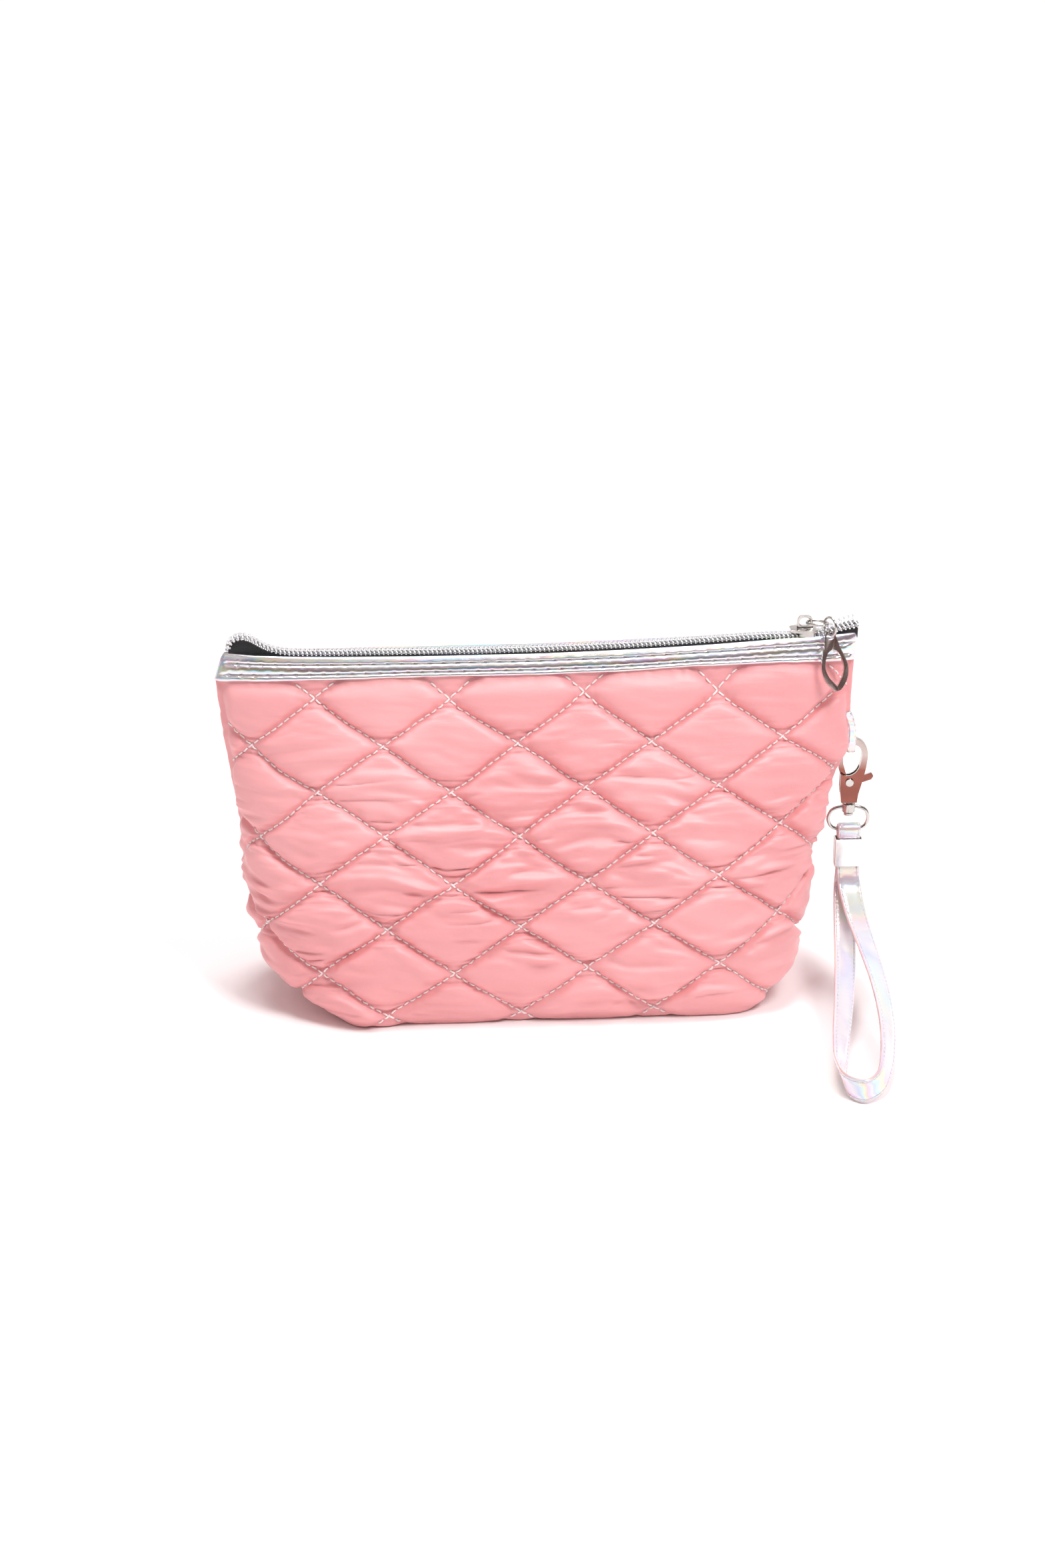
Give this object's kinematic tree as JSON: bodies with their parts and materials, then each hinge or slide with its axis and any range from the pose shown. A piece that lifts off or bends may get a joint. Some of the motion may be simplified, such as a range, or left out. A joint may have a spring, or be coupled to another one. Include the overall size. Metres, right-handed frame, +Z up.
{
  "type": "makeup bag",
  "caption": "Quilted fabric pouch with a zip mouth and a wrist strap on a swivelling clasp; holds and carries makeup and small toiletries.",
  "frame": {"origin": "centre of the flat base, where the bag rests", "axes": "+X along the zip towards the clasp end, -Y the front, +Z up"},
  "size_m": [0.2497, 0.1517, 0.1492],
  "materials": {
    "quilted_nylon": "satin",
    "wadding": "soft",
    "lining": "ribbed",
    "holographic_trim": "iridescent coated",
    "zip_tape": "woven",
    "zip_coil": "metallised",
    "nickel": "polished nickel plate",
    "holographic_strap": "iridescent coated"
  },
  "bodies": {
    "bag": {"front_panel": "quilted_nylon", "front_wadding": "wadding", "front_lining": "lining", "front_trim": "holographic_trim", "base_panel": "quilted_nylon", "base_wadding": "wadding", "base_lining": "lining", "front_tape": "zip_tape", "front_coil": "zip_coil", "back_tape_left_end": "zip_tape", "back_coil_left_end": "zip_coil", "back_tape_right_end": "zip_tape", "back_coil_right_end": "zip_coil", "side_tab": "holographic_trim"},
    "back_wall": {"back_panel": "quilted_nylon", "back_wadding": "wadding", "back_lining": "lining", "back_trim": "holographic_trim", "back_tape": "zip_tape", "back_coil": "zip_coil"},
    "slider": {"slider_body": "nickel"},
    "slider_link": {"link": "nickel"},
    "ring": {"pull_ring": "nickel"},
    "pull": {"pull_tab": "nickel"},
    "clasp": {"clasp_body": "nickel", "lever_rivet": "nickel", "lever_spring": "nickel", "swivel_post": "nickel"},
    "lever": {"clasp_lever": "nickel"},
    "d_ring": {"d_ring": "nickel"},
    "strap": {"wrist_strap": "holographic_strap", "strap_clamp": "nickel"}
  },
  "joints": [
    {"name": "mouth_open", "type": "hinge", "parent": "bag", "child": "back_wall", "pos_m": [0, 0.0346, 0.0009], "axis": [-1, 0, 0], "range_deg": [0, 16]},
    {"name": "zip_slide", "type": "slide", "parent": "bag", "child": "slider", "axis": [-1, 0, 0], "range_m": [0, 0.192]},
    {"name": "link_flip", "type": "hinge", "parent": "slider", "child": "slider_link", "pos_m": [0.1015, 0, 0.1452], "axis": [-0.5, -0.866, 0], "range_deg": [0, 60]},
    {"name": "ring_swing", "type": "hinge", "parent": "slider_link", "child": "ring", "pos_m": [0.10843, -0.004, 0.1452], "axis": [-0.5, -0.866, 0], "range_deg": [0, 40]},
    {"name": "pull_swing", "type": "hinge", "parent": "ring", "child": "pull", "pos_m": [0.1091, -0.00641, 0.1417], "axis": [-0.5, 0.866, 0], "range_deg": [0, 60]},
    {"name": "clasp_swing", "type": "hinge", "parent": "bag", "child": "clasp", "pos_m": [0.1209, 0.0015, 0.0916], "axis": [0, -1, 0], "range_deg": [0, 35]},
    {"name": "clasp_lever_press", "type": "hinge", "parent": "clasp", "child": "lever", "pos_m": [0.1198, 0.0015, 0.08], "axis": [0, 1, 0], "range_deg": [0, 22], "stiffness_Nm_per_rad": 0.02, "springref_deg": -8.59},
    {"name": "swivel_turn", "type": "hinge", "parent": "clasp", "child": "d_ring", "pos_m": [0.1201, 0.0015, 0.068], "axis": [0, 0, 1], "range_deg": [0, 150]},
    {"name": "strap_swing", "type": "hinge", "parent": "d_ring", "child": "strap", "pos_m": [0.1205, 0.0015, 0.0602], "axis": [-1, 0, 0], "range_deg": [0, 60]}
  ]
}
